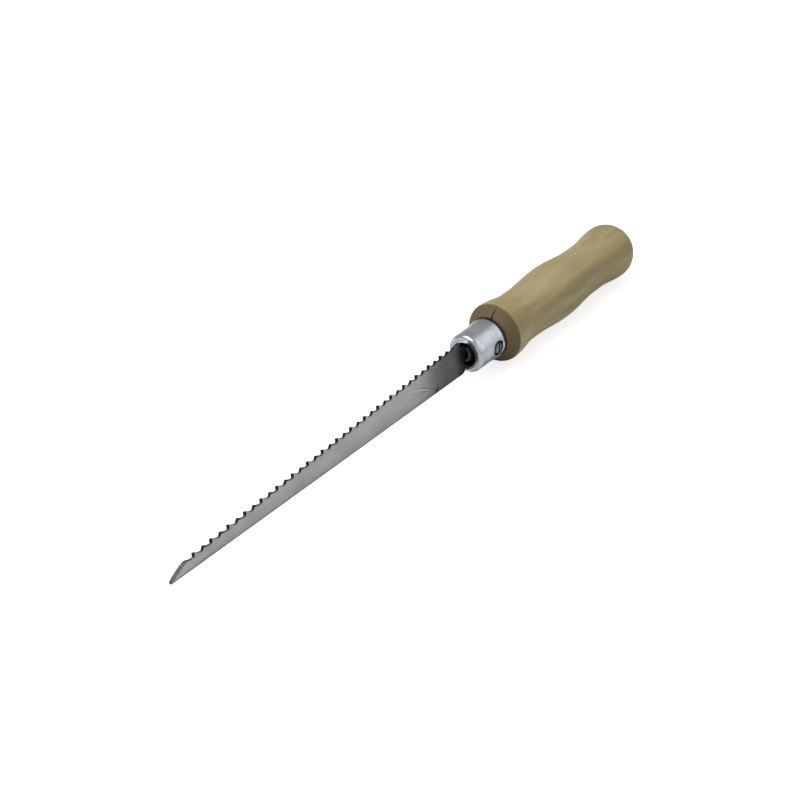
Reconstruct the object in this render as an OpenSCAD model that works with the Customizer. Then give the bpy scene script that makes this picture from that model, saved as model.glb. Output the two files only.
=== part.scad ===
// Keyhole saw: a tapered toothed blade whose tang slides into a steel ferrule on a
// turned wooden handle, where a side screw clamps it through a half-round shoe.
// The saw lies along X with its tip towards +X, its teeth up and its screw towards +Y.
// The origin is on its axis, in the middle of the handle's palm swell, where a hand holds it.

/* [Blade] */
// Free length of the blade, from the ferrule's mouth to the tip
blade_reach = 173.4; // [150:0.2:190]
// Thickness of the blade's sheet
blade_t = 1.2; // [1:0.05:1.4]
// Height of the tooth points above the axis at the heel, next to the handle
heel_top = 8.6; // [7.5:0.1:8.8]
// Height of the tooth points above the axis at the nose
nose_top = -0.3; // [-1:0.1:2]
// Depth of the back edge below the axis at the heel
heel_back = 9; // [8:0.1:9]
// Depth of the back edge below the axis at the nose
nose_back = 6.4; // [6:0.1:7.4]
// Length of the slanted plunge point in front of the first tooth
nose_len = 11.2; // [9:0.1:14]
// Plain length between the last tooth and the ferrule
heel_len = 13.8; // [12:0.1:18]
// Distance from one tooth point to the next
tooth_pitch = 4.23; // [3.6:0.01:5]
// Height of a tooth
tooth_h = 2.2; // [1.6:0.1:2.4]
// Sideways lean of each tooth point, left and right in turn
tooth_set = 0.45; // [0.3:0.05:0.6]
// Width of the tang
tang_w = 9.2; // [8:0.1:9.6]
// Length of the tang behind the ferrule's mouth
tang_len = 45; // [38:0.5:60]

/* [Ferrule] */
// Distance from the ferrule's mouth back to the wooden shoulder
ferrule_len = 19; // [18.6:0.1:24]
// Outside radius of the ferrule's straight front part
mouth_r = 9.15; // [9.1:0.05:9.4]
// Outside radius of the ferrule at its rear
ferrule_rear_r = 9.75; // [9.5:0.05:10.2]
// Radius of the opening inside the ferrule's rounded mouth
mouth_bore_r = 5.6; // [5.4:0.05:5.8]
// Radius of the ferrule's bore around the tenon
bore_r = 7; // [6.9:0.05:7.3]
// Depth of the open mouth in front of the wooden tenon
mouth_depth = 6; // [5:0.1:7]

/* [Clamp] */
// Thread radius of the clamp screw
screw_r = 2.5; // [2.3:0.05:2.6]
// Thread pitch of the clamp screw
screw_pitch = 0.8; // [0.7:0.05:0.9]
// Distance of the clamp screw behind the ferrule's mouth
screw_back = 13.4; // [12.6:0.1:13.6]
// Side of the square nut
nut_w = 8.2; // [7.8:0.1:8.4]
// Outside radius of the half-round shoe
shoe_r = 3.9; // [3.7:0.05:4]
// Travel of the shoe when the screw is undone
shoe_travel = 0.6; // [0.4:0.05:0.6]

/* [Handle] */
// Length of the handle behind the ferrule
handle_len = 117.6; // [105:0.2:130]
// Radius of the shoulder and of the butt swell
swell_r = 14.3; // [13.8:0.1:15.5]
// Radius of the swell at the middle of the grip
palm_r = 14.1; // [13.4:0.1:14.1]
// Radius of the two waists
waist_r = 12.55; // [11.5:0.05:13]

/* [Hidden] */
$fn = 96;

// Fits between the pieces
run_gap = 0.05;
slide_gap = 0.3;
press_gap = 0.02;
sunk_gap = 0.25;
over = 1;

// Handle outline: stations along the length and sizes at its two ends
shoulder_share = 0.048;
front_waist_shares = [0.187, 0.221];
palm_share = 0.449;
rear_waist_shares = [0.655, 0.732];
butt_share = 0.902;
shoulder_cone = 4;
shoulder_lip = 0.6;
butt_flat_r = 1.6;
curve_steps = 7;

// Ferrule wall
lip_r = (mouth_r - mouth_bore_r) / 2;
mouth_wall = 4.4;
rear_gap = 0.8;
straight_share = 0.5;
rear_taper_share = 0.86;
rear_bevel = 0.6;
screw_hole_r = screw_r + 1.1;
tenon_r = bore_r - press_gap;
tenon_len = ferrule_len - mouth_depth;

// Blade layout, with x measured from the ferrule's mouth towards the tip
tooth_n = floor((blade_reach - nose_len - heel_len) / tooth_pitch) + 1;
first_x = heel_len + (tooth_n - 1) * tooth_pitch;
tooth_slope = (nose_top - heel_top) / (first_x - heel_len);
tooth_line_deg = atan(tooth_slope);
back_slope = (heel_back - nose_back) / blade_reach;
gullet_share = 0.1;
set_deg = asin(tooth_set / tooth_h);
tooth_root = 0.15;
tip_blunt = 0.7;
nose_front_share = 0.37;
seat_gap = 0.4;
heel_corner = 3.2;
land_share = 0.54;
neck_share = 0.31;
heel_drop = 0.9;
bevel_w = 1.6;
bevel_deg = 18;

// Clamp stack, measured across the blade from its middle plane
tang_face = blade_t / 2 + press_gap;
plate_t = 1;
plate_w = 7.6;
plate_front = mouth_depth + 1;
plate_len = 11;
shoe_rise = 2.4;
shoe_wall = 1.15;
shoe_crest = tang_face + shoe_rise;
shoe_axis = shoe_crest - shoe_r;
shoe_half = sqrt(pow(shoe_r, 2) - pow(shoe_r - shoe_rise, 2));
shoe_front = 0.2;
shoe_len = 15.4;
dog_r = 1.4;
dog_sink = 0.7;
dog_gap = 0.35;
nut_face = shoe_crest + shoe_travel + 0.2;
nut_outer = sqrt(pow(bore_r, 2) - pow(nut_w / 2, 2)) - run_gap;
nut_t = nut_outer - nut_face;
screw_end = mouth_r + sunk_gap;
thread_share = 0.55;
slot_w = 0.9;
slot_deep = 1.3;
screw_chamfer = 0.35;

// Slots inside the handle
slot_half_w = tang_w / 2 + slide_gap;
slot_half_t = blade_t / 2 + slide_gap;
slot_len = tang_len + over;

// Place of the whole saw: the middle of the palm swell at the origin
x_place = ferrule_len + palm_share * handle_len;

// Height of the tooth points above the axis at station x
function tooth_z(x) = heel_top + tooth_slope * (x - heel_len);

// Height of the back edge, below the axis, at station x
function back_z(x) = -heel_back + back_slope * x;

// Points from station a0, radius r0 to station a1, radius r1 along half a cosine wave
function wave(a0, r0, a1, r1) = [
    for (i = [1 : curve_steps])
        [(r0 + r1) / 2 + (r0 - r1) / 2 * cos(180 * i / curve_steps), a0 + (a1 - a0) * i / curve_steps]
];

// Points of a quarter ellipse that rounds the butt off
function butt_dome(a0, r0, a1, r1) = [
    for (i = [1 : curve_steps])
        [r1 + (r0 - r1) * cos(90 * i / curve_steps), a0 + (a1 - a0) * sin(90 * i / curve_steps)]
];

// Moves a piece from the mouth-centred layout to the saw's own frame
module placed() {
    translate([x_place, 0, 0]) children();
}

// Turns a shape drawn upwards from z = 0 so that it runs back along the saw's axis
module along_axis() {
    rotate([0, -90, 0]) children();
}

// A box from low corner p to high corner q
module box(p, q) {
    translate(p) cube(q - p);
}

// A cylinder along Y at the clamp screw's station, from y0 to y1
module screw_rod(r, y0, y1) {
    translate([-screw_back, y0, 0]) rotate([-90, 0, 0]) cylinder(r = r, h = y1 - y0);
}

// Turned outline of the handle, tenon first, with the length along y
module handle_outline() {
    front = shoulder_share * handle_len;
    waist_a = front_waist_shares * handle_len;
    palm = palm_share * handle_len;
    waist_b = rear_waist_shares * handle_len;
    butt = butt_share * handle_len;
    translate([0, ferrule_len]) polygon(concat(
        [[0, -tenon_len], [tenon_r, -tenon_len], [tenon_r, 0], [ferrule_rear_r, 0]],
        [[swell_r - shoulder_lip, shoulder_cone], [swell_r, front]],
        wave(front, swell_r, waist_a[0], waist_r),
        wave(waist_a[1], waist_r, palm, palm_r),
        wave(palm, palm_r, waist_b[0], waist_r),
        wave(waist_b[1], waist_r, butt, swell_r),
        butt_dome(butt, swell_r, handle_len, butt_flat_r),
        [[0, handle_len]]
    ));
}

// Turned wooden handle: tenon, tang slot, and pockets for the clamp's inner pieces
module handle() {
    tenon_x = -mouth_depth;
    pocket = nut_w / 2 + run_gap;
    groove = shoe_half + slide_gap;
    plate_x = -plate_front;
    plate_y = tang_face + plate_t + run_gap;
    plate_z = plate_w / 2 + run_gap;
    shoe_x = -shoe_front - shoe_len - slide_gap;
    color("burlywood") placed() difference() {
        along_axis() rotate_extrude() handle_outline();
        box([-slot_len, -slot_half_t, -slot_half_w], [tenon_x + over, slot_half_t, slot_half_w]);
        box([shoe_x, 0, -groove], [tenon_x + over, nut_face, groove]);
        box([plate_x - plate_len - run_gap, -plate_y, -plate_z], [tenon_x + over, 0, plate_z]);
        box([-screw_back - pocket, nut_face, -pocket], [-screw_back + pocket, bore_r + over, pocket]);
    }
}

// Drawn steel ferrule: round lip, straight front, swollen rear and the screw's hole
module ferrule() {
    taper_0 = straight_share * ferrule_len;
    taper_1 = rear_taper_share * ferrule_len;
    rear = ferrule_len - rear_gap;
    wall = [
        [mouth_bore_r, lip_r], [mouth_r, lip_r], [mouth_r, taper_0],
        [ferrule_rear_r, taper_1], [ferrule_rear_r, rear - rear_bevel],
        [ferrule_rear_r - rear_bevel, rear], [bore_r, rear], [bore_r, mouth_wall], [mouth_bore_r, mouth_wall]
    ];
    color("silver") placed() difference() {
        along_axis() rotate_extrude() union() {
            polygon(wall);
            translate([mouth_bore_r + lip_r, lip_r]) circle(r = lip_r);
        }
        screw_rod(screw_hole_r, 0, ferrule_rear_r + over);
    }
}

// Thin square nut that the clamp screw runs in, held in the tenon behind the ferrule's wall
module clamp_nut() {
    half = nut_w / 2;
    color("dimgray") placed() difference() {
        box([-screw_back - half, nut_face, -half], [-screw_back + half, nut_outer, half]);
        screw_rod(screw_r + run_gap, nut_face - over, nut_outer + over);
    }
}

// Steel strip in the tenon that the tang is pressed against
module backing_plate() {
    color("slategray") placed()
        box([-plate_front - plate_len, -tang_face - plate_t, -plate_w / 2], [-plate_front, -tang_face, plate_w / 2]);
}

// Half-round channel that spreads the screw's push along the tang
module clamp_shoe() {
    tail = -shoe_front - shoe_len;
    color("gray") placed() difference() {
        translate([-shoe_front, shoe_axis, 0]) along_axis() difference() {
            cylinder(r = shoe_r, h = shoe_len);
            translate([0, 0, -over]) cylinder(r = shoe_r - shoe_wall, h = shoe_len + 2 * over);
        }
        box([tail - over, shoe_axis - shoe_r - over, -shoe_r - over], [over, tang_face, shoe_r + over]);
        screw_rod(dog_r + run_gap, shoe_crest - dog_sink, shoe_crest + over);
    }
}

// Slotted grub screw with ring-shaped thread grooves and a plain dog point in the shoe
module clamp_screw() {
    body = shoe_crest + dog_gap;
    tip = shoe_crest - dog_sink + press_gap;
    core_r = screw_r - thread_share * screw_pitch;
    turns = floor((screw_end - body - 2 * screw_chamfer) / screw_pitch);
    start = body + screw_chamfer;
    thread = [
        for (i = [0 : turns - 1], p = [[screw_r, 0.15], [core_r, 0.5], [screw_r, 0.85]])
            [p[0], start + (i + p[1]) * screw_pitch]
    ];
    color("darkgray") placed() difference() {
        translate([-screw_back, 0, 0]) rotate([-90, 0, 0]) rotate_extrude() polygon(concat(
            [[0, tip], [dog_r, tip], [dog_r, body], [core_r, body]],
            thread,
            [[screw_r, screw_end - screw_chamfer], [screw_r - screw_chamfer, screw_end], [0, screw_end]]
        ));
        box([-screw_back - slot_w / 2, screw_end - slot_deep, -screw_r - over],
            [-screw_back + slot_w / 2, screw_end + over, screw_r + over]);
    }
}

// One saw tooth over its base line: steep towards the tip, long slope towards the handle
module tooth(side) {
    lead = gullet_share * tooth_pitch;
    rotate([side * set_deg, 0, 0]) rotate([90, 0, 0])
        linear_extrude(height = blade_t, center = true)
            polygon([[0, tooth_h], [lead, 0], [lead, -tooth_root], [lead - tooth_pitch, -tooth_root],
                [lead - tooth_pitch, 0]]);
}

// Blade outline without its teeth: slanted nose, gullet line, heel, neck, tang and back
module blade_outline() {
    root = tooth_h / cos(tooth_line_deg);
    nose_z = tooth_z(first_x) - root;
    heel_x = heel_len - (1 - gullet_share) * tooth_pitch;
    land_x = land_share * heel_len;
    neck_x = neck_share * heel_len;
    nose_x = first_x + nose_front_share * nose_len;
    lead_x = first_x + gullet_share * tooth_pitch;
    polygon([
        [blade_reach, back_z(blade_reach)], [blade_reach, back_z(blade_reach) + tip_blunt],
        [nose_x, tooth_z(nose_x)], [lead_x + tooth_h / 2, tooth_z(first_x) - tooth_h / 2],
        [lead_x, nose_z], [heel_x, tooth_z(heel_x) - root],
        [land_x, tooth_z(land_x) - heel_drop], [neck_x, tooth_z(neck_x) - heel_drop], [neck_x, tang_w / 2],
        [-tang_len + tang_w / 4, tang_w / 2], [-tang_len, tang_w / 4],
        [-tang_len, -tang_w / 4], [-tang_len + tang_w / 4, -tang_w / 2],
        [seat_gap, -tang_w / 2], [seat_gap, back_z(0) + heel_corner / 3],
        [heel_corner / 3, back_z(0) + heel_corner / 9], [heel_corner, back_z(heel_corner)]
    ]);
}

// Tapered blade with set teeth, a ground plunge point and a clamped tang
module blade() {
    nose_x = first_x + nose_front_share * nose_len;
    nose_deg = atan2(tooth_z(nose_x) - back_z(blade_reach) - tip_blunt, blade_reach - nose_x);
    color("lightslategray") placed() difference() {
        union() {
            rotate([90, 0, 0]) linear_extrude(height = blade_t, center = true) blade_outline();
            for (k = [0 : tooth_n - 1])
                translate([first_x - k * tooth_pitch, 0, tooth_z(first_x - k * tooth_pitch)])
                    rotate([0, -tooth_line_deg, 0]) translate([0, 0, -tooth_h]) tooth(k % 2 == 0 ? 1 : -1);
        }
        translate([blade_reach, blade_t / 2, back_z(blade_reach) + tip_blunt]) rotate([0, nose_deg, 0])
            translate([0, 0, -bevel_w]) rotate([bevel_deg, 0, 0])
                translate([-nose_len * 2, 0, -over]) cube([nose_len * 3, over, bevel_w * 2 + over]);
    }
}

handle();
ferrule();
clamp_nut();
backing_plate();
clamp_shoe();
clamp_screw();
blade();
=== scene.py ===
"""Dresses the keyhole saw: turned wooden handle, plated ferrule, clamp and toothed blade."""

import logging
import math
from dataclasses import dataclass
from enum import Enum
from typing import Iterable, Sequence

import bmesh
import bpy
from mathutils import Matrix, Vector


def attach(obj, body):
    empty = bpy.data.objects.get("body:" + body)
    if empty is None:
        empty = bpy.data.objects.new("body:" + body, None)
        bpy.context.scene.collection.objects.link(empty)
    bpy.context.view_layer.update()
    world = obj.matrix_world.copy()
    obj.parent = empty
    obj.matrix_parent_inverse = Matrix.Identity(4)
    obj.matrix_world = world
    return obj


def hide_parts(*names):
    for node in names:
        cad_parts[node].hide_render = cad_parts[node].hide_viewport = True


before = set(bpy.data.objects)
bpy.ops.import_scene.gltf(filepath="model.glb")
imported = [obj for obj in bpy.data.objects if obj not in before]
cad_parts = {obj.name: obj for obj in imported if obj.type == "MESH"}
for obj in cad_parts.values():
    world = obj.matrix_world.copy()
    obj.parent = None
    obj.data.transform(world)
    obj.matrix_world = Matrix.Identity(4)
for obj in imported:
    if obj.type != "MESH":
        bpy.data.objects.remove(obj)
LOG = logging.getLogger("keyhole_saw")
MM = 0.001
WELD = 0.001 * MM
SHARP_DEG = 32.0
Point = tuple[float, float]
Triple = tuple[float, float, float]
Colour = tuple[float, float, float, float]


def linear(red: int, green: int, blue: int) -> Colour:
    """Turns a screen colour into the linear colour that shaders take.

    Args:
        red: Red, 0 to 255.
        green: Green, 0 to 255.
        blue: Blue, 0 to 255.

    Returns:
        The linear colour, with an alpha of 1.
    """
    def channel(value: int) -> float:
        """Undoes the screen's tone curve for one channel."""
        share = value / 255
        return share / 12.92 if share <= 0.04045 else ((share + 0.055) / 1.055) ** 2.4

    return channel(red), channel(green), channel(blue), 1.0


def quarter_turn(steps: int) -> list[float]:
    """Returns the angles from 0 to a right angle, in equal steps."""
    return [math.pi / 2 * i / steps for i in range(steps + 1)]


class Side(Enum):
    """The way a tooth leans."""

    SCREW = 1
    PLAIN = -1


class FaceShade(Enum):
    """How much painted shade a face of the blade gets by the way it faces, from 0 to 1."""

    UNSHADED = 0.0
    EDGE = 0.25
    FACET = 0.5
    NOSE = 0.75
    GULLET = 0.85
    FILED = 0.9
    FRONT = 1.0


class Graph:
    """A node tree with short ways to add and join its nodes."""

    def __init__(self, tree: bpy.types.NodeTree) -> None:
        """Takes the tree that the nodes go into."""
        self.tree = tree

    def add(self, kind: str, inputs: dict[str | int, object] | None = None,
            **settings: object) -> bpy.types.Node:
        """Adds a node.

        Args:
            kind: The node's type.
            inputs: Values or output sockets for its input sockets.
            settings: Properties of the node.

        Returns:
            The new node.
        """
        node = self.tree.nodes.new(kind)
        for name, value in settings.items():
            setattr(node, name, value)
        for name, value in (inputs or {}).items():
            self.put(node.inputs[name], value)
        return node

    def put(self, socket: bpy.types.NodeSocket, value: object) -> None:
        """Joins an output to a socket, or sets the socket's value."""
        if isinstance(value, bpy.types.NodeSocket):
            self.tree.links.new(value, socket)
        else:
            socket.default_value = value

    def place(self) -> bpy.types.NodeSocket:
        """Returns the piece's Object coordinates."""
        return self.add("ShaderNodeTexCoord").outputs["Object"]

    def maths(self, operation: str, first: object, second: object = 0.0) -> bpy.types.NodeSocket:
        """Adds a Math node and returns its value."""
        return self.add("ShaderNodeMath", {0: first, 1: second}, operation=operation).outputs[0]

    def times(self, first: object, second: object) -> bpy.types.NodeSocket:
        """Returns the product of two values."""
        return self.maths("MULTIPLY", first, second)

    def plus(self, first: object, second: object) -> bpy.types.NodeSocket:
        """Returns the sum of two values."""
        return self.maths("ADD", first, second)

    def minus(self, first: object, second: object) -> bpy.types.NodeSocket:
        """Returns the first value less the second."""
        return self.maths("SUBTRACT", first, second)

    def gap(self, first: object, second: object) -> bpy.types.NodeSocket:
        """Returns the distance between two places."""
        node = self.add("ShaderNodeVectorMath", {0: first, 1: second}, operation="DISTANCE")
        return node.outputs["Value"]

    def step(self, value: object, low: float, high: float) -> bpy.types.NodeSocket:
        """Returns a smooth step of a value, 0 at low and 1 at high, in either order."""
        node = self.add("ShaderNodeMapRange", {0: value, 1: low, 2: high},
                        interpolation_type="SMOOTHSTEP")
        return node.outputs[0]

    def ramp(self, value: object, edge: Point, origin: float = 0.0) -> bpy.types.NodeSocket:
        """Returns a smooth step over an edge that is measured from an origin."""
        return self.step(value, origin + edge[0], origin + edge[1])

    def mix(self, share: object, first: object, second: object) -> bpy.types.NodeSocket:
        """Returns a mix of two colours."""
        node = self.add("ShaderNodeMix", data_type="RGBA")
        for index, value in ((0, share), (6, first), (7, second)):
            self.put(node.inputs[index], value)
        return node.outputs[2]

    def tint(self, colour: object, mask: object, share: float,
             tone: object) -> bpy.types.NodeSocket:
        """Returns a colour with a share of a tone laid over it where a mask is 1."""
        return self.mix(self.times(mask, share), colour, tone)

    def noise(self, place: object, scale: float, detail: float = 3.0,
              rough: float = 0.5) -> bpy.types.NodeSocket:
        """Returns the value of a noise texture read at a place."""
        node = self.add("ShaderNodeTexNoise", {
            "Vector": place, "Scale": scale, "Detail": detail, "Roughness": rough})
        return node.outputs["Fac"]


def streak_group() -> bpy.types.NodeTree:
    """Builds the shared group that draws long streaks along X at a given width.

    Returns:
        The group, with a streak mask and a fine mask as its outputs.
    """
    group = bpy.data.node_groups.new("long_streaks", "ShaderNodeTree")
    for name, default in (("Length", 0.05), ("Width", 0.002), ("Fine", 0.0004)):
        socket = group.interface.new_socket(name, in_out="INPUT", socket_type="NodeSocketFloat")
        socket.default_value = default
    for name in ("Streak", "Fibre"):
        group.interface.new_socket(name, in_out="OUTPUT", socket_type="NodeSocketFloat")
    graph = Graph(group)
    entry = graph.add("NodeGroupInput")
    leave = graph.add("NodeGroupOutput")
    place = graph.place()

    def stretched(across: bpy.types.NodeSocket, detail: float) -> bpy.types.NodeSocket:
        """Returns noise stretched along X, with the given width across."""
        along = graph.maths("DIVIDE", 1.0, entry.outputs["Length"])
        wide = graph.maths("DIVIDE", 1.0, across)
        scale = graph.add("ShaderNodeCombineXYZ", {0: along, 1: wide, 2: wide}).outputs[0]
        spread = graph.add("ShaderNodeVectorMath", {0: place, 1: scale}, operation="MULTIPLY")
        return graph.noise(spread.outputs[0], 1.0, detail, 0.6)

    graph.put(leave.inputs["Streak"], stretched(entry.outputs["Width"], 3.0))
    graph.put(leave.inputs["Fibre"], stretched(entry.outputs["Fine"], 2.0))
    return group


STREAKS = streak_group()


@dataclass(frozen=True)
class Finish:
    """What all finishes share: a name and a way to start the material.

    A finish's edges are pairs in metres: where a mask is 0 and where it is 1.
    Its streaks are given by length, width and fine width, in metres.
    """

    name: str

    def start(self) -> tuple[bpy.types.Material, Graph, bpy.types.Node]:
        """Starts the material.

        Returns:
            The material, its graph and its Principled BSDF.
        """
        material = bpy.data.materials.new(self.name)
        material.use_nodes = True
        material.node_tree.nodes.clear()
        graph = Graph(material.node_tree)
        shader = graph.add("ShaderNodeBsdfPrincipled")
        graph.add("ShaderNodeOutputMaterial", {"Surface": shader.outputs[0]})
        return material, graph, shader

    @staticmethod
    def bump(graph: Graph, shader: bpy.types.Node, height: object, depth: float,
             strength: float) -> None:
        """Feeds a height into the shader's normal through a Bump node."""
        node = graph.add("ShaderNodeBump", {
            "Height": height, "Distance": depth, "Strength": strength})
        graph.put(shader.inputs["Normal"], node.outputs[0])

    @staticmethod
    def streaks(graph: Graph, sizes: Triple) -> bpy.types.Node:
        """Places the shared streak group with its own length, width and fine width."""
        node = graph.add("ShaderNodeGroup", node_tree=STREAKS)
        for name, value in zip(("Length", "Width", "Fine"), sizes):
            node.inputs[name].default_value = value
        return node


@dataclass(frozen=True)
class TurnedWood(Finish):
    """Pale turned hardwood: soft bands, fine pores, brown end grain, a split, and painted shade on the
    tenon and in the gap behind the ferrule.
    """

    light: Colour = linear(182, 168, 126)
    dark: Colour = linear(154, 138, 93)
    honey: Colour = linear(158, 139, 80)
    pore: Colour = linear(118, 101, 63)
    end_grain: Colour = linear(96, 80, 56)
    split: Colour = linear(30, 20, 11)
    # Painted shade for the tenon inside the ferrule and the gap behind it.
    tenon: Colour = linear(24, 20, 15)
    grain_size: Triple = (0.085, 0.0075, 0.0006)
    pore_size: Triple = (0.006, 0.0006, 0.00035)
    front_x: float = 0.0
    end_edge: Point = (-4.9 * MM, -3.7 * MM)
    end_wobble: float = 0.6 * MM
    tenon_shade_edge: Point = (-0.4 * MM, 0.3 * MM)
    split_edge: Point = (-6.2 * MM, -4.6 * MM)
    split_low: float = 9.6 * MM
    split_high: float = 13.6 * MM
    split_fade: float = 0.5 * MM
    split_foot: Point = (-1.6 * MM, -0.6 * MM)
    split_side: Point = (0.16 * MM, -0.06 * MM)
    split_y: float = 1.0 * MM
    split_w: float = 0.5 * MM
    split_wobble: float = 1.1 * MM
    speck: Triple = (-60.2 * MM, 7.6 * MM, 6.2 * MM)
    speck_edge: Point = (0.75 * MM, 0.3 * MM)

    def crack(self, graph: Graph, place: object, x: object, y: object,
              z: object) -> bpy.types.NodeSocket:
        """Returns the mask of the short split that runs up the shoulder in the blade's plane.

        Args:
            graph: The material's graph.
            place: Object coordinates.
            x: Their X.
            y: Their Y.
            z: Their Z.

        Returns:
            The mask, 1 inside the split.
        """
        wobble = graph.times(graph.minus(graph.noise(place, 420.0), 0.5), self.split_wobble)
        across = graph.maths("ABSOLUTE", graph.plus(graph.minus(y, self.split_y), wobble))
        fade = graph.step(z, self.split_high + self.split_fade, self.split_low)
        width = graph.times(fade, self.split_w)
        narrow = graph.ramp(graph.minus(across, width), self.split_side)
        reach = graph.ramp(z, self.split_foot, self.split_low)
        ahead = graph.ramp(x, self.split_edge, self.front_x)
        return graph.times(graph.times(narrow, reach), ahead)

    def material(self) -> bpy.types.Material:
        """Returns the wood's material."""
        material, graph, shader = self.start()
        place = graph.place()
        x, y, z = graph.add("ShaderNodeSeparateXYZ", {0: place}).outputs
        streak, fibre = self.streaks(graph, self.grain_size).outputs
        pores = self.streaks(graph, self.pore_size).outputs["Fibre"]
        broad = graph.noise(place, 24.0, 2.0)
        patch = graph.noise(place, 11.0, 1.5)
        colour = graph.mix(graph.step(streak, 0.32, 0.7), self.light, self.dark)
        colour = graph.tint(colour, graph.step(broad, 0.46, 0.72), 0.5, self.honey)
        colour = graph.tint(colour, graph.step(patch, 0.5, 0.7), 0.3, self.dark)
        colour = graph.tint(colour, graph.step(fibre, 0.5, 0.8), 0.22, self.pore)
        dots = graph.times(graph.step(pores, 0.66, 0.76), 0.32)
        colour = graph.mix(dots, colour, self.pore)
        uneven = graph.plus(x, graph.times(broad, self.end_wobble))
        front = graph.ramp(uneven, self.end_edge, self.front_x)
        rings = graph.noise(place, 900.0, 3.0)
        brown = graph.tint(self.end_grain, graph.step(rings, 0.4, 0.75), 0.1, self.dark)
        colour = graph.tint(colour, front, 0.95, brown)
        # Painted shade: darkens the tenon inside the ferrule and, in part, the wood's face in the gap
        # behind the ferrule.
        stain = graph.ramp(x, self.tenon_shade_edge, self.front_x)
        colour = graph.mix(stain, colour, self.tenon)
        crack = self.crack(graph, place, x, y, z)
        colour = graph.mix(crack, colour, self.split)
        speck = graph.ramp(graph.gap(place, self.speck), self.speck_edge)
        colour = graph.tint(colour, speck, 0.75, self.split)
        graph.put(shader.inputs["Base Color"], colour)
        rough = graph.plus(0.4, graph.times(streak, 0.14))
        rough = graph.plus(rough, graph.times(graph.maths("MAXIMUM", front, stain), 0.25))
        graph.put(shader.inputs["Roughness"], rough)
        shader.inputs["Specular IOR Level"].default_value = 0.4
        relief = graph.minus(graph.times(fibre, 0.12), crack)
        relief = graph.minus(relief, graph.times(dots, 0.3))
        self.bump(graph, shader, relief, 0.25 * MM, 0.5)
        return material


@dataclass(frozen=True)
class PlatedSteel(Finish):
    """Bright zinc plating: faint drawing lines, clouding, a painted dark reflection on the mouth's lip
    and painted shade inside the mouth.
    """

    bright: Colour = linear(220, 226, 231)
    cloudy: Colour = linear(190, 199, 207)
    # Painted shade for the inside of the mouth.
    bore_shade: Colour = linear(44, 44, 42)
    # Painted dark reflection on the mouth's lip.
    line: Colour = linear(44, 50, 47)
    drawn_size: Triple = (0.012, 0.0009, 0.00025)
    rough: float = 0.16
    mouth_x: float = 0.0
    bore_r: float = 7.4 * MM
    bore_side: Point = (0.0, -0.2 * MM)
    bore_depth: Point = (0.5 * MM, 1.0 * MM)
    reflection_line_r: float = 6.95 * MM
    reflection_line_side: Point = (0.4 * MM, 0.15 * MM)
    reflection_line_y: Point = (-1.0 * MM, 2.5 * MM)
    reflection_line_z: Point = (-3.0 * MM, 0.0)
    reflection_line_depth: Point = (1.6 * MM, 1.2 * MM)

    def material(self) -> bpy.types.Material:
        """Returns the plating's material."""
        material, graph, shader = self.start()
        place = graph.place()
        x, y, z = graph.add("ShaderNodeSeparateXYZ", {0: place}).outputs
        across = graph.add("ShaderNodeCombineXYZ", {1: y, 2: z}).outputs[0]
        length = graph.add("ShaderNodeVectorMath", {0: across}, operation="LENGTH")
        radius = length.outputs["Value"]
        streak, fibre = self.streaks(graph, self.drawn_size).outputs
        cloud = graph.noise(place, 150.0, 4.0, 0.6)
        colour = graph.mix(graph.step(cloud, 0.35, 0.7), self.bright, self.cloudy)
        depth = graph.minus(self.mouth_x, x)
        # Painted shade: the inside of the mouth is darkened, from just behind the lip.
        inside = graph.times(graph.ramp(radius, self.bore_side, self.bore_r),
                             graph.ramp(depth, self.bore_depth))
        # Painted dark reflection: a thin dark ring on the mouth's lip, on its upper side towards +Y
        # only.
        off_reflection_line = graph.maths("ABSOLUTE", graph.minus(radius, self.reflection_line_r))
        side = graph.times(graph.ramp(y, self.reflection_line_y), graph.ramp(z, self.reflection_line_z))
        ring = graph.times(graph.ramp(off_reflection_line, self.reflection_line_side), side)
        ring = graph.times(ring, graph.ramp(depth, self.reflection_line_depth))
        colour = graph.tint(colour, ring, 0.85, self.line)
        colour = graph.mix(inside, colour, self.bore_shade)
        graph.put(shader.inputs["Base Color"], colour)
        rough = graph.plus(self.rough, graph.times(cloud, 0.12))
        rough = graph.plus(rough, graph.times(fibre, 0.06))
        rough = graph.plus(rough, graph.times(inside, 0.25))
        graph.put(shader.inputs["Roughness"], rough)
        shader.inputs["Metallic"].default_value = 1.0
        self.bump(graph, shader, streak, 0.02 * MM, 0.2)
        return material


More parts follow.
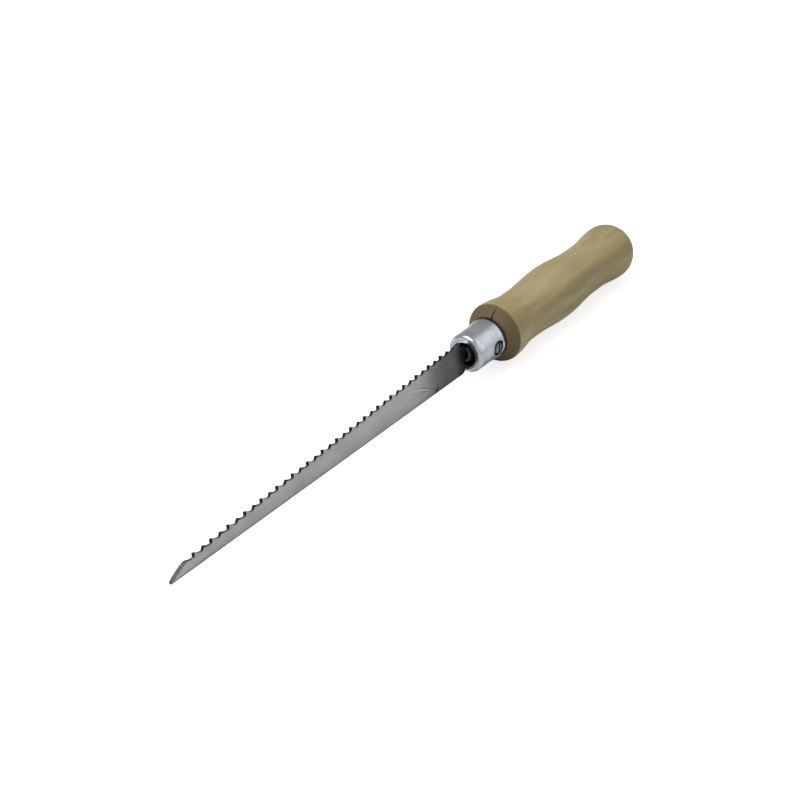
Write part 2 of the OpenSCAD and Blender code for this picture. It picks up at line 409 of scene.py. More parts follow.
@dataclass(frozen=True)
class BladeSteel(Finish):
    """Ground spring steel: painted shade on the tooth faces, a fan of grinding marks, painted shade at
    the heel, along the back and by the mouth, and a painted sheen.
    """

    pale: Colour = linear(189, 189, 189)
    dull: Colour = linear(142, 142, 142)
    # Grey for the painted shade at the heel and along the back, and for the dark grinding scores.
    shade_and_score_grey: Colour = linear(91, 91, 91)
    # Near-black for a small dark spot and for the painted shade next to the ferrule's mouth.
    near_black: Colour = linear(24, 24, 24)
    # Pale steel for the painted sheen and the bright grinding marks.
    glint: Colour = linear(224, 224, 221)
    # The painted shade laid on the faces that the shaded_face attribute marks.
    cut: Colour = linear(46, 46, 46)
    ground_size: Triple = (0.03, 0.0012, 0.0003)
    heel_x: float = 0.0
    heel_shade_edge: Point = (36 * MM, 15 * MM)
    heel_wobble: float = 14 * MM
    mouth_shade_edge: Point = (8.5 * MM, 1.0 * MM)
    sheen_start: Point = (24 * MM, 42 * MM)
    sheen_end: Point = (120 * MM, 60 * MM)
    fan: Point = (23.0 * MM, -7.2 * MM)
    fan_start: Point = (1.5 * MM, 5 * MM)
    fan_end: Point = (27 * MM, 8 * MM)
    score_end: Point = (15 * MM, 6 * MM)
    spot: Point = (21.4 * MM, -7.0 * MM)
    spot_edge: Point = (2.2 * MM, 0.4 * MM)
    back_z: float = -9.0 * MM
    back_slope: float = 0.015
    back_shade_edge: Point = (1.6 * MM, 0.6 * MM)
    back_wobble: float = 0.8 * MM

    def fan_marks(self, graph: Graph, x: object,
                  z: object) -> tuple[bpy.types.NodeSocket, bpy.types.NodeSocket]:
        """Returns the masks of the grinding marks that fan out from a point near the back edge.

        Args:
            graph: The material's graph.
            x: Object X.
            z: Object Z.

        Returns:
            The mask of the bright marks and the mask of the dark ones.
        """
        run = graph.minus(x, self.heel_x + self.fan[0])
        rise = graph.minus(z, self.fan[1])
        turn = graph.maths("ARCTAN2", rise, run)
        far = graph.maths("SQRT", graph.plus(graph.times(run, run), graph.times(rise, rise)))
        bent = graph.plus(turn, graph.times(far, 14.0))
        polar = graph.add("ShaderNodeCombineXYZ", {
            0: graph.times(bent, 17.0), 1: graph.times(far, 55.0)})
        rays = graph.noise(polar.outputs[0], 1.0, 3.0, 0.6)
        reach = graph.times(graph.ramp(far, self.fan_start), graph.ramp(far, self.fan_end))
        wedge = graph.times(graph.step(turn, -0.05, 0.12), graph.step(turn, 0.95, 0.6))
        fan = graph.times(reach, wedge)
        near = graph.times(fan, graph.ramp(far, self.score_end))
        bright = graph.times(graph.step(rays, 0.45, 0.62), fan)
        return bright, graph.times(graph.step(rays, 0.5, 0.38), near)

    def material(self) -> bpy.types.Material:
        """Returns the blade's material."""
        material, graph, shader = self.start()
        place = graph.place()
        x, y, z = graph.add("ShaderNodeSeparateXYZ", {0: place}).outputs
        streak, fibre = self.streaks(graph, self.ground_size).outputs
        smear = graph.noise(place, 55.0, 4.0, 0.55)
        patch = graph.noise(place, 16.0, 2.0)
        colour = graph.tint(self.pale, graph.step(smear, 0.42, 0.75), 0.4, self.dull)
        colour = graph.tint(colour, graph.step(patch, 0.4, 0.7), 0.25, self.dull)
        colour = graph.tint(colour, graph.step(fibre, 0.35, 0.75), 0.3, self.dull)
        # Painted shade: the blade darkens towards the heel.
        uneven = graph.plus(x, graph.times(graph.minus(smear, 0.5), self.heel_wobble))
        colour = graph.tint(colour, graph.ramp(uneven, self.heel_shade_edge, self.heel_x), 0.85, self.shade_and_score_grey)
        # Painted sheen: a broad painted highlight lightens the middle of the blade.
        sheen = graph.times(graph.ramp(x, self.sheen_start, self.heel_x),
                            graph.ramp(x, self.sheen_end, self.heel_x))
        colour = graph.tint(colour, sheen, 0.12, self.glint)
        # Painted shade along the back edge.
        low = graph.minus(z, graph.times(graph.minus(x, self.heel_x), self.back_slope))
        low = graph.plus(low, graph.times(smear, self.back_wobble))
        colour = graph.tint(colour, graph.ramp(low, self.back_shade_edge, self.back_z), 0.55, self.shade_and_score_grey)
        marks, scores = self.fan_marks(graph, x, z)
        colour = graph.tint(colour, scores, 0.6, self.shade_and_score_grey)
        colour = graph.tint(colour, marks, 0.7, self.glint)
        spot = graph.add("ShaderNodeCombineXYZ", {
            0: self.heel_x + self.spot[0], 1: y, 2: self.spot[1]})
        away = graph.gap(place, spot.outputs[0])
        colour = graph.tint(colour, graph.ramp(away, self.spot_edge), 0.7, self.near_black)
        # Painted shade on the blade next to the ferrule's mouth.
        colour = graph.tint(colour, graph.ramp(x, self.mouth_shade_edge, self.heel_x), 0.9, self.near_black)
        # Painted shade on the tooth fronts, gullets, filed tops, edges and nose, by face direction.
        mask = graph.add("ShaderNodeAttribute", attribute_name="shaded_face").outputs["Fac"]
        colour = graph.mix(mask, colour, self.cut)
        graph.put(shader.inputs["Base Color"], colour)
        rough = graph.plus(0.36, graph.times(streak, 0.2))
        rough = graph.plus(rough, graph.times(mask, 0.2))
        rough = graph.minus(rough, graph.times(marks, 0.1))
        graph.put(shader.inputs["Roughness"], rough)
        shader.inputs["Metallic"].default_value = 1.0
        height = graph.plus(fibre, graph.times(marks, 0.8))
        self.bump(graph, shader, height, 0.015 * MM, 0.3)
        return material


@dataclass(frozen=True)
class PlainSteel(Finish):
    """Mill steel for the screw and the pieces inside the clamp."""

    tone: Colour = linear(166, 163, 154)
    stain: Colour = linear(98, 94, 86)
    rough: float = 0.36

    def material(self) -> bpy.types.Material:
        """Returns the steel's material."""
        material, graph, shader = self.start()
        spots = graph.noise(graph.place(), 700.0, 4.0, 0.65)
        colour = graph.mix(graph.step(spots, 0.45, 0.75), self.tone, self.stain)
        graph.put(shader.inputs["Base Color"], colour)
        rough = graph.plus(self.rough, graph.times(spots, 0.2))
        graph.put(shader.inputs["Roughness"], rough)
        shader.inputs["Metallic"].default_value = 1.0
        self.bump(graph, shader, spots, 0.02 * MM, 0.3)
        return material


def shade(mesh: bpy.types.Mesh, angle: float) -> None:
    """Shades a mesh smooth, with edges over an angle in degrees left sharp."""
    mesh.shade_smooth()
    mesh.set_sharp_from_angle(angle=math.radians(angle))


def finish_piece(name: str, bm: bmesh.types.BMesh, angle: float = SHARP_DEG) -> bpy.types.Object:
    """Turns a bmesh into a smooth-shaded object at the origin.

    Args:
        name: The piece's name.
        bm: The mesh, in metres in the saw's frame. It is freed.
        angle: Edges sharper than this, in degrees, stay sharp.

    Returns:
        The new object.
    """
    mesh = bpy.data.meshes.new(name)
    bm.to_mesh(mesh)
    bm.free()
    shade(mesh, angle)
    piece = bpy.data.objects.new(name, mesh)
    bpy.context.scene.collection.objects.link(piece)
    return piece


def spun(profile: Sequence[Point], steps: int, closed: bool,
         upright: float | None = None) -> bmesh.types.BMesh:
    """Spins an outline round the X axis, or round a line along Y.

    Args:
        profile: Points as distance along the axis and radius, in metres.
        steps: Number of faces round the axis.
        closed: True for a ring whose outline joins its own start.
        upright: Station along X of a line along Y to spin round instead.

    Returns:
        The spun mesh, with its faces outwards.
    """
    bm = bmesh.new()
    centre = Vector((upright or 0.0, 0, 0))
    axis = Vector((1, 0, 0)) if upright is None else Vector((0, 1, 0))
    verts = [bm.verts.new(centre + axis * a + Vector((0, 0, r))) for a, r in profile]
    pairs = list(zip(verts, verts[1:])) + ([(verts[-1], verts[0])] if closed else [])
    edges = [bm.edges.new(pair) for pair in pairs]
    bmesh.ops.spin(bm, geom=verts + edges, cent=centre, axis=axis, angle=math.tau, steps=steps,
                   use_merge=True)
    bmesh.ops.remove_doubles(bm, verts=bm.verts, dist=WELD)
    bmesh.ops.dissolve_degenerate(bm, edges=bm.edges, dist=WELD)
    bmesh.ops.recalc_face_normals(bm, faces=bm.faces)
    return bm


def box_cutter(low: Sequence[float], high: Sequence[float]) -> bpy.types.Object:
    """Makes a box between two corners, for cutting.

    Args:
        low: Lowest corner, in metres.
        high: Highest corner, in metres.

    Returns:
        The box as an object.
    """
    bm = bmesh.new()
    size = [b - a for a, b in zip(low, high)]
    middle = [(a + b) / 2 for a, b in zip(low, high)]
    placed = Matrix.Translation(middle) @ Matrix.Diagonal((*size, 1.0))
    bmesh.ops.create_cube(bm, size=1.0, matrix=placed)
    return finish_piece("cutter", bm)


def rod_cutter(x: float, radii: Point, span: Point) -> bpy.types.Object:
    """Makes a round cutter along Y.

    Args:
        x: Its place along the saw.
        radii: Its radius at the two ends.
        span: Its two ends along Y.

    Returns:
        The cutter as an object.
    """
    bm = bmesh.new()
    turn = Matrix.Translation((x, sum(span) / 2, 0)) @ Matrix.Rotation(math.radians(-90), 4, "X")
    bmesh.ops.create_cone(bm, cap_ends=True, segments=64, radius1=radii[0], radius2=radii[1],
                          depth=span[1] - span[0], matrix=turn)
    return finish_piece("cutter", bm)


def carve(piece: bpy.types.Object, cutters: Iterable[bpy.types.Object]) -> None:
    """Cuts shapes out of a piece for good and removes the cutters.

    Args:
        piece: The piece to cut.
        cutters: The shapes to take away.
    """
    for cutter in cutters:
        cut = piece.modifiers.new("cut", "BOOLEAN")
        cut.operation, cut.solver, cut.object = "DIFFERENCE", "EXACT", cutter
        solid = piece.evaluated_get(bpy.context.evaluated_depsgraph_get())
        mesh = bpy.data.meshes.new_from_object(solid)
        piece.modifiers.clear()
        piece.data = mesh
        bpy.data.objects.remove(cutter)
    shade(piece.data, SHARP_DEG)


def dress(piece: bpy.types.Object, material: bpy.types.Material) -> None:
    """Gives a piece one material."""
    piece.data.materials.clear()
    piece.data.materials.append(material)


def stand_for(piece: bpy.types.Object, node: str, body: str) -> None:
    """Puts a piece in place of a CAD node, on its body."""
    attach(piece, body)
    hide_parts(node)
    LOG.info("%s stands for %s on %s", piece.name, node, body)


@dataclass
class Layout:
    """Where the saw's parts lie along X, in metres from the origin in the palm swell."""

    ferrule_len: float = 19.0 * MM
    handle_len: float = 117.6 * MM
    palm_share: float = 0.449
    screw_back: float = 13.4 * MM

    @property
    def mouth(self) -> float:
        """Station of the ferrule's mouth."""
        return self.ferrule_len + self.palm_share * self.handle_len

    @property
    def shoulder(self) -> float:
        """Station where the wood begins, behind the ferrule."""
        return self.mouth - self.ferrule_len

    @property
    def screw_x(self) -> float:
        """Station of the clamp screw."""
        return self.mouth - self.screw_back


@dataclass(frozen=True)
class Pocket:
    """A box cut into the wood, in millimetres, with its stations counted back from the mouth."""

    back: float
    front: float
    low_y: float
    high_y: float
    half_z: float

    def cutter(self, mouth: float) -> bpy.types.Object:
        """Returns the box that cuts the pocket behind a mouth at the given station."""
        return box_cutter((mouth - self.back * MM, self.low_y * MM, -self.half_z * MM),
                          (mouth - self.front * MM, self.high_y * MM, self.half_z * MM))


@dataclass
class Handle:
    """Turned wooden handle with a tenon inside the ferrule.

    Shares are distances behind the shoulder, as parts of the handle's length.
    """

    layout: Layout
    swell_r: float = 14.3 * MM
    palm_r: float = 14.1 * MM
    waist_r: float = 12.55 * MM
    front_r: float = 9.75 * MM
    tail_r: float = 1.6 * MM
    tenon_r: float = 6.98 * MM
    tenon_len: float = 13.0 * MM
    cone: float = 4.0 * MM
    lip_drop: float = 0.75 * MM
    lip_start: float = 0.93
    lip_share: float = 0.48
    lip_deg: Point = (18.0, 72.0)
    lip_steps: int = 4
    front_swell: float = 0.048
    front_waist: Point = (0.187, 0.221)
    rear_waist: Point = (0.655, 0.732)
    rear_swell: float = 0.902
    dome_share: float = 0.098
    steps: int = 14
    round_steps: int = 160
    tang_slot: Pocket = Pocket(46.0, 5.0, -0.9, 0.9, 4.9)
    shoe_pocket: Pocket = Pocket(15.9, 5.0, 0.0, 3.82, 3.9)
    plate_pocket: Pocket = Pocket(18.05, 5.0, -1.67, 0.0, 3.85)
    nut_pocket: Pocket = Pocket(17.55, 9.25, 3.82, 8.0, 4.15)

    def profile(self) -> list[Point]:
        """Returns the outline from the tenon to the butt."""
        start, length, palm = self.layout.shoulder, self.layout.handle_len, self.layout.palm_share

        def wave(a: float, r: float, b: float, s: float) -> list[Point]:
            """Returns half a cosine wave from share a, radius r to share b, radius s."""
            spans = [i / self.steps for i in range(1, self.steps + 1)]
            return [(start - length * (a + (b - a) * t),
                     (r + s) / 2 + (r - s) / 2 * math.cos(math.pi * t)) for t in spans]

        def lip(t: float) -> Point:
            """Returns the point at a part of the way round the shoulder's lip."""
            turn = math.radians(self.lip_deg[0] + self.lip_deg[1] * t)
            return (start - self.cone * (self.lip_start + self.lip_share * t),
                    self.swell_r - self.lip_drop * (1 - math.sin(turn)))

        shoulder = [lip(i / self.lip_steps) for i in range(self.lip_steps + 1)]
        dome = [(start - length * (self.rear_swell + self.dome_share * math.sin(t)),
                 self.tail_r + (self.swell_r - self.tail_r) * math.cos(t))
                for t in quarter_turn(self.steps)[1:]]
        return [
            (start + self.tenon_len, 0.0), (start + self.tenon_len, self.tenon_r),
            (start, self.tenon_r), (start, self.front_r), *shoulder,
            *wave(self.front_swell, self.swell_r, self.front_waist[0], self.waist_r),
            *wave(self.front_waist[1], self.waist_r, palm, self.palm_r),
            *wave(palm, self.palm_r, self.rear_waist[0], self.waist_r),
            *wave(self.rear_waist[1], self.waist_r, self.rear_swell, self.swell_r),
            *dome, (start - length, 0.0),
        ]

    def build(self, material: bpy.types.Material) -> bpy.types.Object:
        """Builds and dresses the handle and puts it in its node's place."""
        piece = finish_piece("turned_handle", spun(self.profile(), self.round_steps, closed=False))
        pockets = (self.tang_slot, self.shoe_pocket, self.plate_pocket, self.nut_pocket)
        carve(piece, [pocket.cutter(self.layout.mouth) for pocket in pockets])
        dress(piece, material)
        stand_for(piece, "handle", "grip")
        return piece


@dataclass
class Ferrule:
    """Plated ferrule: grooved and crowned mouth, straight front, swollen round rear, screw hole."""

    layout: Layout
    mouth_r: float = 9.15 * MM
    rear_r: float = 9.75 * MM
    bore_r: float = 7.0 * MM
    mouth_bore_r: float = 5.6 * MM
    mouth_wall: float = 4.4 * MM
    rear_gap: float = 0.8 * MM
    rear_round: float = 1.2 * MM
    rear_steps: int = 6
    inner_round: float = 0.4 * MM
    inner_steps: int = 4
    groove_r: float = 6.95 * MM
    groove_in: float = 0.2 * MM
    groove_out: float = 0.15 * MM
    groove_deep: float = 0.18 * MM
    crown_in: float = 0.3 * MM
    lip_steps: int = 16
    taper_start: float = 0.5
    taper_share: float = 0.36
    taper_steps: int = 10
    round_steps: int = 160
    hole_r: float = 3.6 * MM
    hole_span: Point = (2 * MM, 12 * MM)
    sink_in: float = 0.2 * MM
    sink_out: float = 0.9 * MM
    sink_span: Point = (8.9 * MM, 10.1 * MM)

    def profile(self) -> list[Point]:
        """Returns the wall's closed outline."""
        mouth, length = self.layout.mouth, self.layout.ferrule_len
        rear = mouth - length + self.rear_gap
        lip = (self.mouth_r - self.mouth_bore_r) / 2
        inner, groove = self.inner_round, self.groove_r
        edge = [(mouth - inner + inner * math.sin(a),
                 self.mouth_bore_r + inner - inner * math.cos(a))
                for a in quarter_turn(self.inner_steps)]
        line = [(mouth, groove - self.groove_in), (mouth - self.groove_deep, groove),
                (mouth, groove + self.groove_out)]
        rise = self.mouth_r - groove - self.crown_in
        crown = [(mouth - lip + lip * math.cos(a), groove + self.crown_in + rise * math.sin(a))
                 for a in quarter_turn(self.lip_steps)]
        swell = self.rear_r - self.mouth_r
        body = [(mouth - length * (self.taper_start + self.taper_share * t),
                 self.mouth_r + swell * (1 - math.cos(math.pi * t)) / 2)
                for t in (i / self.taper_steps for i in range(self.taper_steps + 1))]
        rounded = [(rear + self.rear_round * (1 - math.sin(t)),
                    self.rear_r - self.rear_round * (1 - math.cos(t)))
                   for t in quarter_turn(self.rear_steps)]
        wall = mouth - self.mouth_wall
        return [*edge, *line, *crown, *body, *rounded,
                (rear, self.bore_r), (wall, self.bore_r), (wall, self.mouth_bore_r)]

    def build(self, material: bpy.types.Material) -> bpy.types.Object:
        """Builds and dresses the ferrule and puts it in its node's place."""
        piece = finish_piece("plated_ferrule", spun(self.profile(), self.round_steps, closed=True))
        x, sink = self.layout.screw_x, (self.hole_r - self.sink_in, self.hole_r + self.sink_out)
        carve(piece, [rod_cutter(x, (self.hole_r, self.hole_r), self.hole_span),
                      rod_cutter(x, sink, self.sink_span)])
        dress(piece, material)
        stand_for(piece, "ferrule", "grip")
        return piece


@dataclass
class ClampScrew:
    """Slotted grub screw with a dog point, seen end on in the ferrule's side.

    The crests are one turn's points, as a part of the pitch and True on the core.
    The end form gives its points as distances back from the end and in from the radius.
    """

    layout: Layout
    radius: float = 2.5 * MM
    pitch: float = 0.8 * MM
    core: float = 2.06 * MM
    dog_r: float = 1.4 * MM
    tip_y: float = 2.34 * MM
    tip_bevel: float = 0.15 * MM
    body_y: float = 3.37 * MM
    end_y: float = 9.4 * MM
    run_in: float = 0.35 * MM
    crests: tuple[tuple[float, bool], ...] = ((0.15, False), (0.42, True), (0.58, True), (0.85, False))
    end_form: tuple[Point, ...] = ((0.4 * MM, 0.0), (0.12 * MM, 0.2 * MM), (0.0, 0.45 * MM))
    round_steps: int = 64
    slot_w: float = 0.9 * MM
    slot_deep: float = 1.3 * MM
    slot_half: float = 3 * MM

    def profile(self) -> list[Point]:
        """Returns the screw's outline from its dog point to its slotted end."""
        turns = int((self.end_y - self.body_y - 2 * self.run_in) / self.pitch)
        start = self.body_y + self.run_in
        thread = [(start + (i + share) * self.pitch, self.core if low else self.radius)
                  for i in range(turns) for share, low in self.crests]
        end = [(self.end_y - back, self.radius - drop) for back, drop in self.end_form]
        return [(self.tip_y, 0.0), (self.tip_y, self.dog_r - self.tip_bevel),
                (self.tip_y + self.tip_bevel, self.dog_r), (self.body_y, self.dog_r),
                (self.body_y, self.core), *thread, *end, (self.end_y, 0.0)]

    def build(self, material: bpy.types.Material) -> bpy.types.Object:
        """Builds and dresses the screw and puts it in its node's place."""
        x = self.layout.screw_x
        mesh = spun(self.profile(), self.round_steps, closed=False, upright=x)
        piece = finish_piece("slotted_screw", mesh)
        half, low, high = self.slot_w / 2, self.end_y - self.slot_deep, self.end_y + MM
        carve(piece, [box_cutter((x - half, low, -self.slot_half), (x + half, high, self.slot_half))])
        dress(piece, material)
        stand_for(piece, "clamp_screw", "screw")
        return piece


@dataclass
class Blade:
    """Tapered blade with set teeth, a ground plunge point and a tang.

    The nose's points are millimetres from the mouth and the saw's axis. A tooth's points are
    millimetres ahead of its tip and shares of its height. The land's, neck's and heel's points
    are millimetres along and up from where each begins.
    """

    layout: Layout
    reach: float = 173.4 * MM
    thick: float = 1.2 * MM
    heel_top: float = 8.6 * MM
    nose_top: float = -0.3 * MM
    heel_back: float = 9.0 * MM
    nose_back: float = 6.4 * MM
    heel_len: float = 13.8 * MM
    land_share: float = 0.54
    neck_share: float = 0.31
    heel_drop: float = 0.9 * MM
    heel_run: float = 3.2 * MM
    land_form: tuple[Point, ...] = ((0.5, -0.35), (-0.5, 0.0))
    neck_form: tuple[Point, ...] = ((0.5, 0.0), (0.13, -0.15), (0.0, -0.5))
    heel_form: tuple[Point, ...] = ((0.4, 1.1), (1.1, 0.36), (2.0, 0.12))
    tang_w: float = 9.2 * MM
    tang_len: float = 45.0 * MM
    nose: tuple[Point, ...] = (
        (173.4, -6.4), (173.38, -5.75), (171.9, -4.32), (170.2, -3.3), (168.3, -2.15),
        (167.3, -1.66), (166.4, -1.4), (165.4, -1.5), (164.4, -1.9), (163.4, -2.3))
    tooth: tuple[Point, ...] = (
        (0.55, 0.1), (0.36, 0.2), (0.0, 1.0), (-0.16, 0.97), (-1.5, 0.52), (-2.7, 0.22), (-3.35, 0.1))
    pitch: float = 4.23 * MM
    count: int = 36
    tooth_h: float = 2.2 * MM
    tooth_lead: float = 0.7 * MM
    row_slack: float = 0.05
    row_low: float = -3 * MM
    lean: float = 0.45 * MM
    bend_share: float = 0.88
    bevel: float = 0.5 * MM
    fleam: float = 0.55 * MM
    fleam_back: float = 0.25 * MM
    fleam_span: float = 0.95 * MM
    gullet_share: float = 0.28
    filed_share: float = 0.62
    facet_w: float = 0.9 * MM
    facet_deg: float = 20.0
    facet_tip: Point = (173.3 * MM, -5.75 * MM)
    facet_hump: Point = (166.9 * MM, -1.4 * MM)
    facet_tip_share: float = 0.35
    edge_round: float = 0.06 * MM
    edge_deg: float = 50.0
    sharp_deg: float = 25.0

    @property
    def first(self) -> float:
        """Distance of the first tooth point from the mouth."""
        return self.heel_len + (self.count - 1) * self.pitch

    def tooth_line(self, x: float) -> float:
        """Height of the tooth points at a distance from the mouth."""
        fall = self.nose_top - self.heel_top
        return self.heel_top + fall * (x - self.heel_len) / (self.first - self.heel_len)

    def back_line(self, x: float) -> float:
        """Height of the back edge at a distance from the mouth."""
        return -self.heel_back + (self.heel_back - self.nose_back) * x / self.reach

    def outline(self) -> list[Point]:
        """Returns the blade's outline, tip first, along the teeth and round the heel and tang."""
        h = self.tooth_h
        points = [(x * MM, z * MM) for x, z in self.nose]
        for k in range(self.count):
            x = self.first - k * self.pitch
            points += [(x + u * MM, self.tooth_line(x + u * MM) - h + v * h) for u, v in self.tooth]
        land, neck = self.land_share * self.heel_len, self.neck_share * self.heel_len
        for x, form in ((land, self.land_form), (neck, self.neck_form)):
            z = self.tooth_line(x) - self.heel_drop
            points += [(x + u * MM, z + v * MM) for u, v in form]
        half, end, back = self.tang_w / 2, -self.tang_len, self.back_line(0)
        heel = [(u * MM, back + v * MM) for u, v in self.heel_form]
        points += [
            (neck, half), (end + half / 2, half), (end, half / 2),
            (end, -half / 2), (end + half / 2, -half), (heel[0][0], -half),
            *heel, (self.heel_run, self.back_line(self.heel_run)),
        ]
        return points

    def grind_nose(self, bm: bmesh.types.BMesh) -> None:
        """Grinds the slanted facet along the plunge point's edge on the screw's side."""
        mouth, face = self.layout.mouth, Vector((0, self.thick / 2, 0))
        tip = Vector((mouth + self.facet_tip[0], 0, self.facet_tip[1]))
        hump = Vector((mouth + self.facet_hump[0], 0, self.facet_hump[1]))
        along = (hump - tip).normalized()
        outward = Vector((along.z, 0, -along.x))
        slope = math.radians(self.facet_deg)
        start = tip - outward * self.facet_w * self.facet_tip_share + face
        edge = hump - outward * self.facet_w + face - start
        across = edge.cross(Vector((0, 1, 0))).normalized()
        across = across if across.dot(outward) > 0 else -across
        normal = Vector((0, math.cos(slope), 0)) + across * math.sin(slope)
        cut = bmesh.ops.bisect_plane(bm, geom=[*bm.verts, *bm.edges, *bm.faces], plane_co=start,
                                     plane_no=normal, clear_outer=True)
        rim = [e for e in cut["geom_cut"] if isinstance(e, bmesh.types.BMEdge)]
        bmesh.ops.edgeloop_fill(bm, edges=[e for e in rim if e.is_boundary])

    def side_at(self, x: float) -> Side | None:
        """Returns the way the tooth at a distance from the mouth leans, or None off the row."""
        place = (self.first + self.tooth_lead - x) / self.pitch
        if not 0 <= place < self.count + self.row_slack:
            return None
        return Side.SCREW if math.floor(place) % 2 else Side.PLAIN

    def set_teeth(self, bm: bmesh.types.BMesh) -> None:
        """Bends the teeth to alternate sides, slants their tops and files every other front."""
        mouth = self.layout.mouth
        fall = Vector((self.first - self.heel_len, 0, self.nose_top - self.heel_top)).normalized()
        up = Vector((-fall.z, 0, fall.x))
        foot = Vector((mouth + self.heel_len, 0, self.heel_top - self.tooth_h * self.bend_share))
        bmesh.ops.bisect_plane(bm, geom=[*bm.verts, *bm.edges, *bm.faces], plane_co=foot, plane_no=up)
        for vert in bm.verts:
            rise = (vert.co - foot).dot(up)
            side = self.side_at(vert.co.x - mouth)
            if rise > 0.01 * MM and side:
                ahead = (vert.co.x - mouth - self.first + self.fleam_back) % self.pitch
                if ahead < self.fleam_span and side is Side.PLAIN and vert.co.y > 0:
                    vert.co.x -= self.fleam
                if vert.co.y * side.value > 0:
                    vert.co.z -= self.bevel * rise / self.tooth_h
                vert.co.y += side.value * self.lean * rise / self.tooth_h

    def darkness(self, face: bmesh.types.BMFace) -> FaceShade:
        """Returns how much painted shade a face gets by the way it faces."""
        middle, mouth = face.calc_center_median(), self.layout.mouth
        steep = abs(face.normal.y) < 0.5
        if middle.x > mouth + self.first + MM:
            ground = 0.5 < face.normal.y < 0.98
            return FaceShade.NOSE if steep else FaceShade.FACET if ground else FaceShade.UNSHADED
        if not steep:
            return FaceShade.UNSHADED
        on_row = middle.z > self.row_low
        if on_row and face.normal.x > 0.75:
            return FaceShade.FRONT
        behind = (self.first + self.tooth_lead - middle.x + mouth) % self.pitch
        if on_row and behind < self.gullet_share * self.pitch:
            return FaceShade.GULLET
        filed = face.normal.z > 0.3 and self.side_at(middle.x - mouth) is Side.SCREW
        return FaceShade.FILED if filed and behind < self.filed_share * self.pitch else FaceShade.EDGE

    def build(self, material: bpy.types.Material) -> bpy.types.Object:
        """Builds and dresses the blade and puts it in its node's place."""
        bm = bmesh.new()
        mask = bm.faces.layers.float.new("shaded_face")
        mouth, side = self.layout.mouth, -self.thick / 2
        face = bm.faces.new([bm.verts.new((mouth + x, side, z)) for x, z in self.outline()])
        made = bmesh.ops.extrude_face_region(bm, geom=[face])["geom"]
        bmesh.ops.translate(bm, vec=(0, self.thick, 0),
                            verts=[v for v in made if isinstance(v, bmesh.types.BMVert)])
        self.set_teeth(bm)
        self.grind_nose(bm)
        bmesh.ops.recalc_face_normals(bm, faces=bm.faces)
        # Stores each face's painted shade in the shaded_face attribute.
        for item in bm.faces:
            item[mask] = self.darkness(item).value
        sharp = math.radians(self.edge_deg)
        edges = [e for e in bm.edges if len(e.link_faces) == 2 and e.calc_face_angle() > sharp]
        bmesh.ops.bevel(bm, geom=edges, offset=self.edge_round, segments=2, profile=0.5,
                        affect="EDGES", material=-1, clamp_overlap=True)
        bmesh.ops.triangulate(bm, faces=[f for f in bm.faces if len(f.verts) > 4])
        piece = finish_piece("toothed_blade", bm, self.sharp_deg)
        dress(piece, material)
        stand_for(piece, "blade", "blade")
        return piece


@dataclass
class ClampInside:
    """The clamp's small steel pieces, which keep their CAD shapes."""

    nodes: tuple[str, ...] = ("clamp_nut", "backing_plate", "clamp_shoe")

    def build(self, material: bpy.types.Material) -> None:
        """Dresses the clamp's CAD nodes."""
        for name in self.nodes:
            dress(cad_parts[name], material)
            LOG.info("%s dressed", name)


@dataclass(frozen=True)
class Lamp:
    """A soft square lamp: its name, place and side in metres, and power in watts."""

    name: str
    place: Triple
    size: float
    power: float

    def build(self, aim: Triple) -> None:
        """Adds the lamp, turned towards a point."""
        data = bpy.data.lights.new(self.name, "AREA")
        data.size, data.energy = self.size, self.power
        lamp = bpy.data.objects.new(self.name, data)
        lamp.location = self.place
        lamp.rotation_mode = "QUATERNION"
        lamp.rotation_quaternion = (Vector(aim) - Vector(self.place)).to_track_quat("-Z", "Y")
        bpy.context.scene.collection.objects.link(lamp)


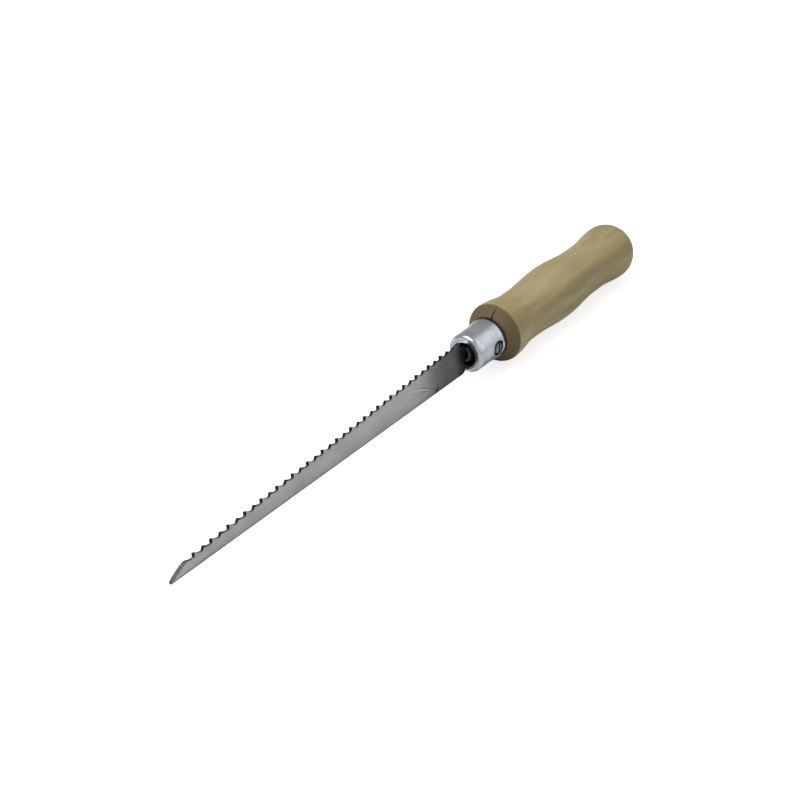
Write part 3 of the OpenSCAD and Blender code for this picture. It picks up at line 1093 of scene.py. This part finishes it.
@dataclass
class Studio:
    """Camera, lights, floor and white surround."""

    layout: Layout
    lens: float = 49.125
    sensor: float = 36.0
    clip: Point = (0.01, 50.0)
    camera_from_tooth: Triple = (174.73 * MM, 240.05 * MM, 250.75 * MM)
    camera_right: Triple = (-0.62042, 0.78366, -0.03096)
    camera_up: Triple = (-0.44948, -0.32295, 0.83287)
    tooth_x: float = 162.0 * MM
    window: Triple = (-0.65, 0.57, 0.50)
    window_edge: Point = (0.74, 1.0)
    window_strength: float = 0.93
    ambient: float = 0.36
    floor_z: float = -14.3 * MM
    floor_half: float = 6.0
    floor_tone: Colour = (0.78, 0.78, 0.78, 1)
    floor_glow: float = 0.73
    white: Colour = (1, 1, 1, 1)
    aim: Triple = (0.08, 0, 0)
    key: Lamp = Lamp("key", (0.62, -0.35, 1.15), 0.8, 13.0)
    side: Lamp = Lamp("side", (0.5, 1.1, 0.7), 1.0, 1.2)

    def camera(self) -> None:
        """Places the camera where the photograph was taken from."""
        data = bpy.data.cameras.new("camera")
        data.lens, data.sensor_width = self.lens, self.sensor
        data.clip_start, data.clip_end = self.clip
        right, up = Vector(self.camera_right), Vector(self.camera_up)
        turn = Matrix((right, up, right.cross(up))).transposed()
        tooth = Vector((self.layout.mouth + self.tooth_x, 0, 0))
        camera = bpy.data.objects.new("camera", data)
        placed = Matrix.Translation(Vector(self.camera_from_tooth) + tooth)
        camera.matrix_world = placed @ turn.to_4x4()
        bpy.context.scene.collection.objects.link(camera)
        bpy.context.scene.camera = camera

    def world(self) -> None:
        """Sets a white surround for the camera, plain grey light and a bright window for gloss."""
        world = bpy.data.worlds.new("surround")
        world.use_nodes = True
        world.node_tree.nodes.clear()
        graph = Graph(world.node_tree)
        path = graph.add("ShaderNodeLightPath").outputs
        seen = graph.maths("MAXIMUM", path["Is Camera Ray"], path["Is Transmission Ray"])
        ahead = graph.add("ShaderNodeTexCoord").outputs["Generated"]
        toward = graph.add("ShaderNodeVectorMath", {0: ahead, 1: self.window},
                           operation="DOT_PRODUCT").outputs["Value"]
        mirror = graph.times(path["Is Glossy Ray"], graph.ramp(toward, self.window_edge))
        shown = graph.plus(self.ambient, graph.times(seen, 1.0 - self.ambient))
        strength = graph.plus(shown, graph.times(mirror, self.window_strength - self.ambient))
        back = graph.add("ShaderNodeBackground", {"Color": self.white, "Strength": strength})
        graph.add("ShaderNodeOutputWorld", {"Surface": back.outputs[0]})
        bpy.context.scene.world = world

    def floor(self) -> None:
        """Lays the pale floor, white to the camera outside the saw's shadow."""
        bm = bmesh.new()
        bmesh.ops.create_grid(bm, x_segments=1, y_segments=1, size=self.floor_half,
                              matrix=Matrix.Translation((0, 0, self.floor_z)))
        piece = finish_piece("floor", bm)
        material = bpy.data.materials.new("floor")
        material.use_nodes = True
        graph = Graph(material.node_tree)
        shader = material.node_tree.nodes["Principled BSDF"]
        shader.inputs["Base Color"].default_value = self.floor_tone
        shader.inputs["Roughness"].default_value = 0.9
        shader.inputs["Emission Color"].default_value = self.white
        path = graph.add("ShaderNodeLightPath").outputs
        glow = graph.times(path["Is Camera Ray"], self.floor_glow)
        graph.put(shader.inputs["Emission Strength"], glow)
        dress(piece, material)

    def build(self) -> None:
        """Builds the whole studio."""
        bpy.context.scene.view_settings.view_transform = "Standard"
        self.camera()
        self.world()
        self.floor()
        for lamp in (self.key, self.side):
            lamp.build(self.aim)


def main() -> None:
    """Builds the pieces in order."""
    logging.basicConfig(level=logging.INFO)
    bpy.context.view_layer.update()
    layout = Layout()
    screw_steel = PlainSteel("screw_steel", linear(132, 134, 135), linear(62, 61, 58), 0.3)
    Handle(layout).build(TurnedWood("turned_wood", front_x=layout.shoulder).material())
    Ferrule(layout).build(PlatedSteel("zinc_plating", mouth_x=layout.mouth).material())
    Blade(layout).build(BladeSteel("blade_steel", heel_x=layout.mouth).material())
    ClampScrew(layout).build(screw_steel.material())
    ClampInside().build(PlainSteel("clamp_steel").material())
    Studio(layout).build()


if __name__ == "__main__":
    main()
